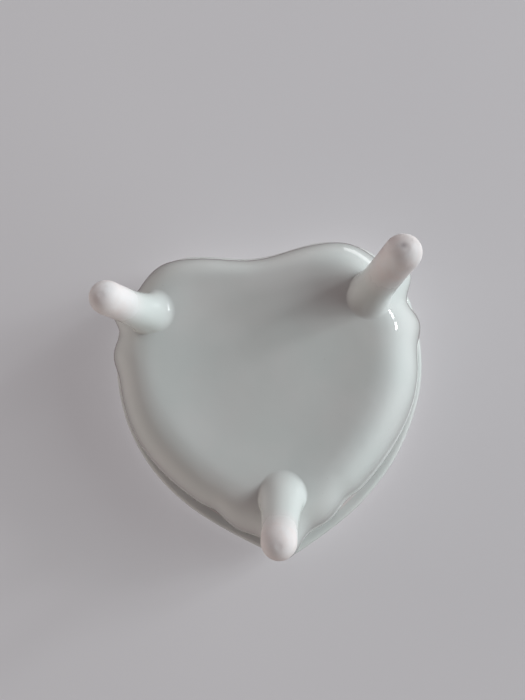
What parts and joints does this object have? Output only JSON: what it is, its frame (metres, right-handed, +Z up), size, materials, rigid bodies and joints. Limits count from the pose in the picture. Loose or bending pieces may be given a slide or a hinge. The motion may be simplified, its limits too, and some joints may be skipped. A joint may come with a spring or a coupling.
{
  "type": "footed heart-shaped trinket box",
  "caption": "Heart-shaped glazed porcelain trinket or pill box on splayed stub feet, with a loose lift-off lid.",
  "frame": {"origin": "centre of the box's outline, on the surface it stands on", "axes": "+Z up through the lid, the point of the heart towards -Y and its cleft towards +Y"},
  "size_m": [0.0848, 0.0848, 0.048],
  "materials": {
    "glazed_porcelain": "clear glossy glaze over cool white porcelain"
  },
  "bodies": {
    "base": {"bowl": "glazed_porcelain", "foot_cleft_right": "glazed_porcelain", "foot_cleft_left": "glazed_porcelain", "foot_point": "glazed_porcelain"},
    "lid": {"lid": "glazed_porcelain"}
  },
  "joints": [
    {"name": "lid_lift", "type": "slide", "parent": "base", "child": "lid", "axis": [0, 0, 1], "range_m": [0, 0.06]}
  ]
}
